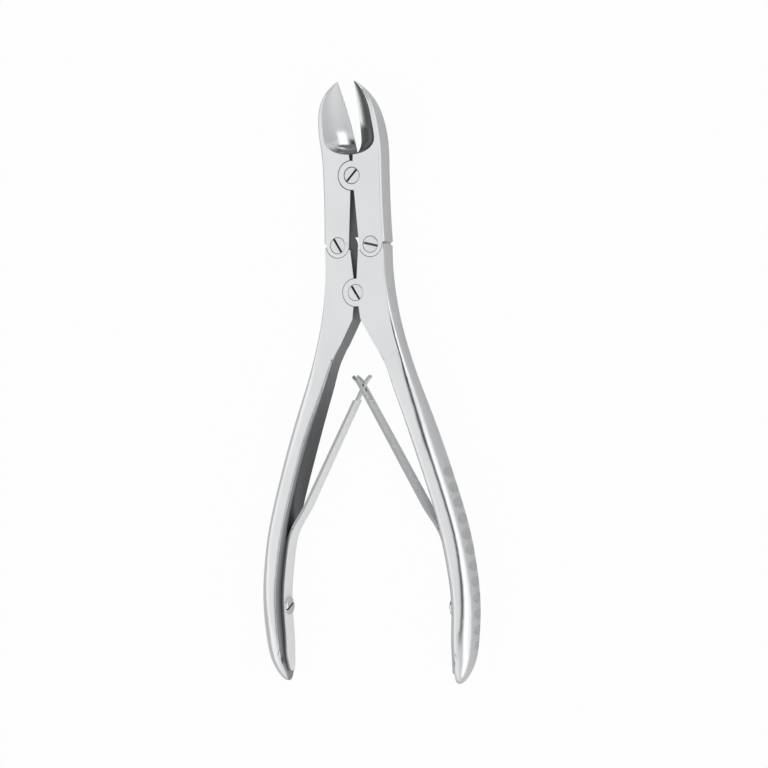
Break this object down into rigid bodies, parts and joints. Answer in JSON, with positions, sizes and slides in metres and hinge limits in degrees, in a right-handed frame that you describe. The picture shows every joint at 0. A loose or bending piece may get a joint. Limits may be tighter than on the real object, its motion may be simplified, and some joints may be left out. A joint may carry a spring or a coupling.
{
  "type": "bone cutting forceps",
  "caption": "Double-action bone cutting forceps: hollow-ground blades bent up on the flat, compound screw joints, bowed scalloped grips and two interlocking leaf springs.",
  "frame": {"origin": "middle of the bottom face of the bounding box: on the instrument's long axis, halfway along it, at the level of the grips' back flats", "axes": "+Y along the instrument's axis towards the blade tips, +Z along the pivot screws towards their slotted heads, +X towards the right handle"},
  "size_m": [0.0738, 0.19, 0.0125],
  "materials": {
    "jaw_steel": "satin stainless steel, hollows polished brighter",
    "handle_steel": "satin stainless steel",
    "screw_steel": "satin stainless steel, flush ground heads",
    "spring_steel": "satin stainless spring steel"
  },
  "bodies": {
    "left_handle": {"left_handle": "handle_steel", "left_link_screw": "screw_steel", "handle_pivot_screw": "screw_steel", "left_leaf_spring": "spring_steel", "left_spring_screw": "screw_steel"},
    "right_handle": {"right_handle": "handle_steel", "right_link_screw": "screw_steel", "right_leaf_spring": "spring_steel", "right_spring_screw": "screw_steel"},
    "left_jaw": {"left_jaw": "jaw_steel", "jaw_pivot_screw": "screw_steel"},
    "right_jaw": {"right_jaw": "jaw_steel"}
  },
  "joints": [
    {"name": "handle_hinge", "type": "hinge", "parent": "left_handle", "child": "right_handle", "pos_m": [0, 0.02855, 0.0056], "axis": [0, 0, -1], "range_deg": [0, 15.92], "stiffness_Nm_per_rad": 2.7, "deforming": ["left_leaf_spring", "right_leaf_spring"]},
    {"name": "left_jaw_hinge", "type": "hinge", "parent": "left_handle", "child": "left_jaw", "pos_m": [-0.00565, 0.04355, 0.0056], "axis": [0, 0, -1], "range_deg": [0, 13.33]},
    {"name": "right_jaw_hinge", "type": "hinge", "parent": "right_handle", "child": "right_jaw", "pos_m": [0.00565, 0.04355, 0.0056], "axis": [0, 0, 1], "range_deg": [0, 13.33]}
  ],
  "couplings": [
    {"joint": "left_jaw_hinge", "follows": "handle_hinge", "ratio": 0.83698},
    {"joint": "right_jaw_hinge", "follows": "handle_hinge", "ratio": 0.83698}
  ]
}
